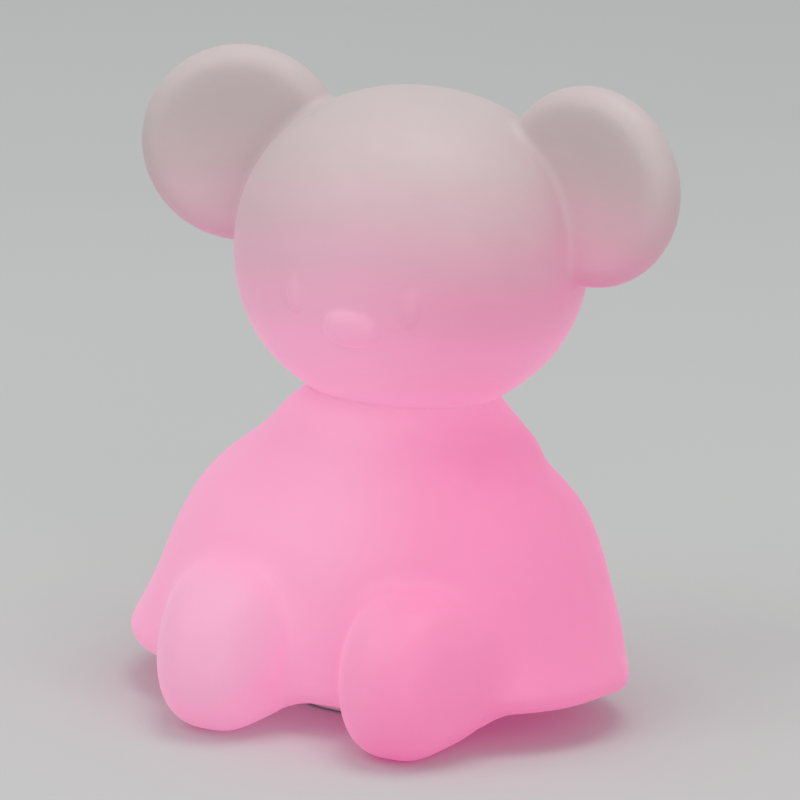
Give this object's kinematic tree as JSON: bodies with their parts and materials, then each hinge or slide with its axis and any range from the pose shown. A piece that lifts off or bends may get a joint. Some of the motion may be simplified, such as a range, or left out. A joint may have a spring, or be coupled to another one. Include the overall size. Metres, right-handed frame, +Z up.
{
  "type": "silicone night light",
  "caption": "Seated bear-like night light with a hollow soft silicone skin over a round battery base, lit from inside.",
  "frame": {"origin": "On the table, under the middle of the figure's bounding box", "axes": "+Z up, -Y is the way the figure faces, +X is the figure's left"},
  "size_m": [0.1332, 0.1056, 0.15],
  "materials": {
    "silicone": "satin, translucent, lit pink from inside",
    "white_plastic": "fine matte",
    "diffuser_plastic": "frosted",
    "black_plastic": "fine matte",
    "grip_rubber": "matte",
    "green_board": "solder mask",
    "white_board": "solder mask",
    "steel": "plated",
    "cell_foil": "satin foil",
    "foam": "open foam",
    "red_wire": "smooth insulation",
    "black_wire": "smooth insulation",
    "lamp_body": "moulded"
  },
  "bodies": {
    "body": {"silicone_skin": "silicone", "base_housing": "white_plastic", "clamp_ring": "white_plastic", "bottom_cover": "white_plastic", "control_board": "green_board", "usb_socket": "steel", "driver_chip": "black_plastic", "tap_sensor": "steel", "tact_switch": "black_plastic", "slide_switch_body": "steel", "battery_cell": "cell_foil", "battery_strap": "white_plastic", "battery_foam": "foam", "battery_plug": "white_plastic", "battery_lead_red": "red_wire", "battery_lead_black": "black_wire", "light_board": "white_board", "light_cable": "black_wire", "light_diffuser": "diffuser_plastic", "white_lamp": "lamp_body", "colour_lamp_1": "lamp_body", "colour_lamp_2": "lamp_body", "colour_lamp_3": "lamp_body", "colour_lamp_4": "lamp_body", "colour_lamp_5": "lamp_body", "cover_screw_1": "steel", "cover_screw_2": "steel", "cover_screw_3": "steel", "diffuser_screw_1": "steel", "diffuser_screw_2": "steel", "diffuser_screw_3": "steel", "grip_pad_1": "grip_rubber", "grip_pad_2": "grip_rubber", "grip_pad_3": "grip_rubber"},
    "mode_button": {"mode_button": "white_plastic"},
    "power_knob": {"power_knob": "black_plastic"}
  },
  "joints": [
    {"name": "mode_button_press", "type": "slide", "parent": "body", "child": "mode_button", "axis": [0, 0, 1], "range_m": [0, 0.0005], "stiffness_N_per_m": 400},
    {"name": "power_knob_slide", "type": "slide", "parent": "body", "child": "power_knob", "axis": [1, 0, 0], "range_m": [0, 0.0024]}
  ]
}
